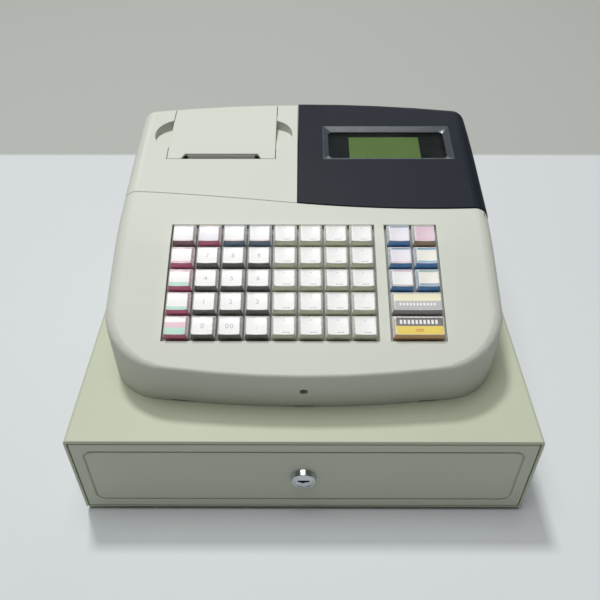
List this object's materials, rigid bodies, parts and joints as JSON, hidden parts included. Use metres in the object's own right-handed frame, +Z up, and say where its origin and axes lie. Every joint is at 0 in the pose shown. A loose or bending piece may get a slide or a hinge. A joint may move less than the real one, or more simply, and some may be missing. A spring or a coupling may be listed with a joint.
{
  "type": "ticket register",
  "caption": "Electronic ticket register with a sloping keyboard, receipt printer cover and display hood, standing on a locking steel cash drawer.",
  "frame": {"origin": "on the standing plane of the rubber feet, below the middle of the footprint", "axes": "+Z up, -Y towards the operator in front of the drawer, +X to the operator's right"},
  "size_m": [0.335, 0.344, 0.1936],
  "materials": {
    "ivory_plastic": "fine textured ABS",
    "case_paint": "powder coated sheet",
    "front_paint": "powder coated sheet",
    "zinc_steel": "zinc plated",
    "chrome_plate": "polished",
    "black_plastic": "moulded",
    "grey_plastic": "moulded",
    "hood_plastic": "satin",
    "bezel_plastic": "glossy",
    "window_clear": "clear",
    "lcd_green": "satin",
    "nylon": "moulded",
    "rubber": "moulded",
    "brass_plate": "machined",
    "board_green": "lacquered",
    "bright_steel": "bright",
    "head_aluminium": "anodised",
    "paper": "uncoated paper",
    "key_magenta": "two-shot cap",
    "key_violet": "two-shot cap",
    "key_dark": "two-shot cap",
    "key_ivory": "two-shot cap",
    "key_blue": "two-shot cap",
    "key_olive": "two-shot cap",
    "key_grey": "two-shot cap",
    "key_yellow": "two-shot cap"
  },
  "bodies": {
    "case": {"drawer_case": "case_paint", "case_base": "case_paint", "rubber_feet": "rubber", "case_runners": "zinc_steel", "drawer_latch": "zinc_steel", "base_plate": "black_plastic", "upper_casing": "ivory_plastic", "printer_cover": "ivory_plastic", "display_cover": "hood_plastic", "display_bezel": "bezel_plastic", "display_window": "window_clear", "lcd_module": "lcd_green", "customer_display": "black_plastic", "keyboard_frame": "grey_plastic", "key_switches": "black_plastic", "keyboard_board": "board_green", "main_board": "board_green", "rear_sockets": "black_plastic", "casing_screws": "bright_steel", "printer_frame": "grey_plastic", "print_head": "head_aluminium", "paper_motor": "bright_steel", "tear_bar": "bright_steel"},
    "drawer": {"drawer_tray": "zinc_steel", "drawer_front": "front_paint", "cash_tray": "black_plastic", "coin_tray": "grey_plastic", "drawer_fittings": "bright_steel", "lock_barrel": "chrome_plate"},
    "case_rollers": {"case_rollers": "nylon"},
    "drawer_rollers": {"drawer_rollers": "nylon"},
    "bill_clips": {"bill_clips": "black_plastic"},
    "lock": {"lock_cylinder": "chrome_plate", "lock_cam": "zinc_steel"},
    "latch_hook": {"latch_hook": "zinc_steel"},
    "paper_flap": {"paper_flap": "ivory_plastic"},
    "platen": {"platen_roller": "rubber", "platen_gear": "nylon"},
    "motor_pinion": {"motor_pinion": "brass_plate"},
    "paper_roll": {"paper_roll": "paper"},
    "power_switch": {"power_switch": "black_plastic"},
    "function_keys": {"function_keys": "key_violet"},
    "side_keys": {"side_keys": "key_magenta"},
    "number_keys_1": {"number_keys_1": "key_dark"},
    "number_keys_2": {"number_keys_2": "key_dark"},
    "number_keys_3": {"number_keys_3": "key_dark"},
    "number_keys_4": {"number_keys_4": "key_dark"},
    "department_keys_1": {"department_keys_1": "key_ivory"},
    "department_keys_2": {"department_keys_2": "key_ivory"},
    "department_keys_3": {"department_keys_3": "key_ivory"},
    "department_keys_4": {"department_keys_4": "key_ivory"},
    "department_keys_5": {"department_keys_5": "key_ivory"},
    "option_key_1": {"option_key_1": "key_blue"},
    "option_key_2": {"option_key_2": "key_olive"},
    "option_key_3": {"option_key_3": "key_blue"},
    "option_key_4": {"option_key_4": "key_blue"},
    "option_key_5": {"option_key_5": "key_blue"},
    "option_key_6": {"option_key_6": "key_blue"},
    "subtotal_key": {"subtotal_key": "key_grey"},
    "total_key": {"total_key": "key_yellow"}
  },
  "joints": [
    {"name": "drawer_slide", "type": "slide", "parent": "case", "child": "drawer", "axis": [0, -1, 0], "range_m": [0, 0.235]},
    {"name": "case_roller_spin", "type": "hinge", "parent": "case", "child": "case_rollers", "pos_m": [0, -0.146, 0.0268], "axis": [1, 0, 0], "continuous": true},
    {"name": "drawer_roller_spin", "type": "hinge", "parent": "drawer", "child": "drawer_rollers", "pos_m": [0, 0.132, 0.0268], "axis": [1, 0, 0], "continuous": true},
    {"name": "bill_clips_lift", "type": "hinge", "parent": "drawer", "child": "bill_clips", "pos_m": [0, 0.1157, 0.0545], "axis": [-1, 0, 0], "range_deg": [0, 30]},
    {"name": "lock_turn", "type": "hinge", "parent": "drawer", "child": "lock", "pos_m": [0, -0.168, 0.0444], "axis": [0, -1, 0], "range_deg": [0, 90]},
    {"name": "latch_hook_swing", "type": "hinge", "parent": "case", "child": "latch_hook", "pos_m": [0, 0.164, 0.0315], "axis": [1, 0, 0], "range_deg": [0, 18], "stiffness_Nm_per_rad": 0.05, "springref_deg": -5.73},
    {"name": "paper_flap_lift", "type": "hinge", "parent": "case", "child": "paper_flap", "pos_m": [-0.0693, 0.12, 0.16171], "axis": [-1, 0, 0], "range_deg": [0, 70]},
    {"name": "platen_spin", "type": "hinge", "parent": "case", "child": "platen", "pos_m": [-0.0693, 0.0588, 0.17096], "axis": [1, 0, 0], "continuous": true},
    {"name": "pinion_spin", "type": "hinge", "parent": "case", "child": "motor_pinion", "pos_m": [-0.0693, 0.0588, 0.15596], "axis": [1, 0, 0], "continuous": true},
    {"name": "paper_roll_spin", "type": "hinge", "parent": "case", "child": "paper_roll", "pos_m": [-0.0693, 0.0988, 0.15174], "axis": [1, 0, 0], "continuous": true},
    {"name": "power_switch_rock", "type": "hinge", "parent": "case", "child": "power_switch", "pos_m": [-0.112, 0.12492, 0.117], "axis": [1, 0, 0], "range_deg": [-10, 10]},
    {"name": "function_keys_press", "type": "slide", "parent": "case", "child": "function_keys", "axis": [0, 0.3681, -0.9298], "range_m": [0, 0.003], "stiffness_N_per_m": 250, "springref_m": -0.003},
    {"name": "side_keys_press", "type": "slide", "parent": "case", "child": "side_keys", "axis": [0, 0.3681, -0.9298], "range_m": [0, 0.003], "stiffness_N_per_m": 250, "springref_m": -0.003},
    {"name": "number_keys_1_press", "type": "slide", "parent": "case", "child": "number_keys_1", "axis": [0, 0.3681, -0.9298], "range_m": [0, 0.003], "stiffness_N_per_m": 250, "springref_m": -0.003},
    {"name": "number_keys_2_press", "type": "slide", "parent": "case", "child": "number_keys_2", "axis": [0, 0.3681, -0.9298], "range_m": [0, 0.003], "stiffness_N_per_m": 250, "springref_m": -0.003},
    {"name": "number_keys_3_press", "type": "slide", "parent": "case", "child": "number_keys_3", "axis": [0, 0.3681, -0.9298], "range_m": [0, 0.003], "stiffness_N_per_m": 250, "springref_m": -0.003},
    {"name": "number_keys_4_press", "type": "slide", "parent": "case", "child": "number_keys_4", "axis": [0, 0.3681, -0.9298], "range_m": [0, 0.003], "stiffness_N_per_m": 250, "springref_m": -0.003},
    {"name": "department_keys_1_press", "type": "slide", "parent": "case", "child": "department_keys_1", "axis": [0, 0.3681, -0.9298], "range_m": [0, 0.003], "stiffness_N_per_m": 250, "springref_m": -0.003},
    {"name": "department_keys_2_press", "type": "slide", "parent": "case", "child": "department_keys_2", "axis": [0, 0.3681, -0.9298], "range_m": [0, 0.003], "stiffness_N_per_m": 250, "springref_m": -0.003},
    {"name": "department_keys_3_press", "type": "slide", "parent": "case", "child": "department_keys_3", "axis": [0, 0.3681, -0.9298], "range_m": [0, 0.003], "stiffness_N_per_m": 250, "springref_m": -0.003},
    {"name": "department_keys_4_press", "type": "slide", "parent": "case", "child": "department_keys_4", "axis": [0, 0.3681, -0.9298], "range_m": [0, 0.003], "stiffness_N_per_m": 250, "springref_m": -0.003},
    {"name": "department_keys_5_press", "type": "slide", "parent": "case", "child": "department_keys_5", "axis": [0, 0.3681, -0.9298], "range_m": [0, 0.003], "stiffness_N_per_m": 250, "springref_m": -0.003},
    {"name": "option_key_1_press", "type": "slide", "parent": "case", "child": "option_key_1", "axis": [0, 0.3681, -0.9298], "range_m": [0, 0.003], "stiffness_N_per_m": 250, "springref_m": -0.003},
    {"name": "option_key_2_press", "type": "slide", "parent": "case", "child": "option_key_2", "axis": [0, 0.3681, -0.9298], "range_m": [0, 0.003], "stiffness_N_per_m": 250, "springref_m": -0.003},
    {"name": "option_key_3_press", "type": "slide", "parent": "case", "child": "option_key_3", "axis": [0, 0.3681, -0.9298], "range_m": [0, 0.003], "stiffness_N_per_m": 250, "springref_m": -0.003},
    {"name": "option_key_4_press", "type": "slide", "parent": "case", "child": "option_key_4", "axis": [0, 0.3681, -0.9298], "range_m": [0, 0.003], "stiffness_N_per_m": 250, "springref_m": -0.003},
    {"name": "option_key_5_press", "type": "slide", "parent": "case", "child": "option_key_5", "axis": [0, 0.3681, -0.9298], "range_m": [0, 0.003], "stiffness_N_per_m": 250, "springref_m": -0.003},
    {"name": "option_key_6_press", "type": "slide", "parent": "case", "child": "option_key_6", "axis": [0, 0.3681, -0.9298], "range_m": [0, 0.003], "stiffness_N_per_m": 250, "springref_m": -0.003},
    {"name": "subtotal_key_press", "type": "slide", "parent": "case", "child": "subtotal_key", "axis": [0, 0.3681, -0.9298], "range_m": [0, 0.003], "stiffness_N_per_m": 250, "springref_m": -0.003},
    {"name": "total_key_press", "type": "slide", "parent": "case", "child": "total_key", "axis": [0, 0.3681, -0.9298], "range_m": [0, 0.003], "stiffness_N_per_m": 250, "springref_m": -0.003}
  ],
  "couplings": [
    {"joint": "case_roller_spin", "follows": "drawer_slide", "rad_per_m": 142.86},
    {"joint": "drawer_roller_spin", "follows": "drawer_slide", "rad_per_m": 142.86},
    {"joint": "pinion_spin", "follows": "platen_spin", "ratio": -2},
    {"joint": "paper_roll_spin", "follows": "platen_spin", "ratio": -0.24436}
  ]
}
